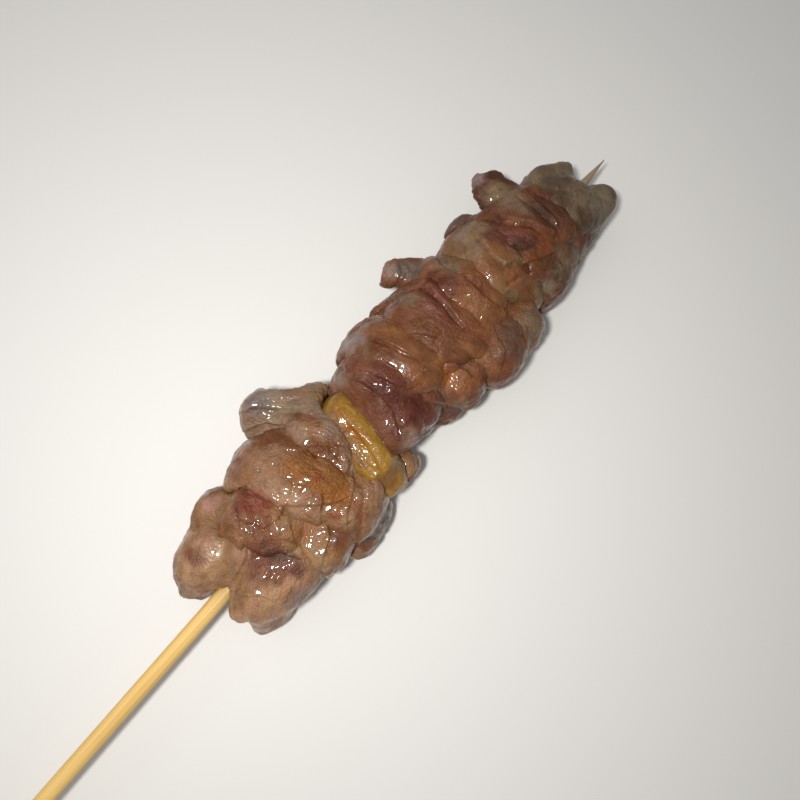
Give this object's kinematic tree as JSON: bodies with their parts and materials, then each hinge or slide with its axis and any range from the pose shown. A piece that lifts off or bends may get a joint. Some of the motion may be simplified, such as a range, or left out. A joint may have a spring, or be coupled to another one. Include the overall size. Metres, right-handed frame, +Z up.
{
  "type": "kebab skewer",
  "caption": "Grilled meat slices and yellow pepper, pressed together on a round pointed bamboo stick that runs through them all.",
  "frame": {"origin": "on the surface that the kebab lies on, under the middle of its bounding box", "axes": "+X along the stick from its blunt handle end to its point, +Y to the stick's left, +Z up"},
  "size_m": [0.25, 0.0508, 0.0282],
  "materials": {
    "tan_meat": "oily light brown cooked meat",
    "red_meat": "oily red-brown cooked meat",
    "dark_meat": "oily grey-brown cooked meat",
    "yellow_pepper": "oily cooked yellow pepper",
    "bamboo": "bare smooth bamboo"
  },
  "bodies": {
    "root": {"meat_01": "tan_meat", "meat_02": "tan_meat", "meat_03": "tan_meat", "meat_04": "dark_meat", "meat_05": "dark_meat", "meat_06": "red_meat", "meat_07": "red_meat", "meat_08": "red_meat", "meat_09": "red_meat", "meat_10": "tan_meat", "meat_11": "red_meat", "meat_12": "dark_meat", "meat_13": "dark_meat", "pepper": "yellow_pepper", "skewer": "bamboo"}
  },
  "joints": []
}
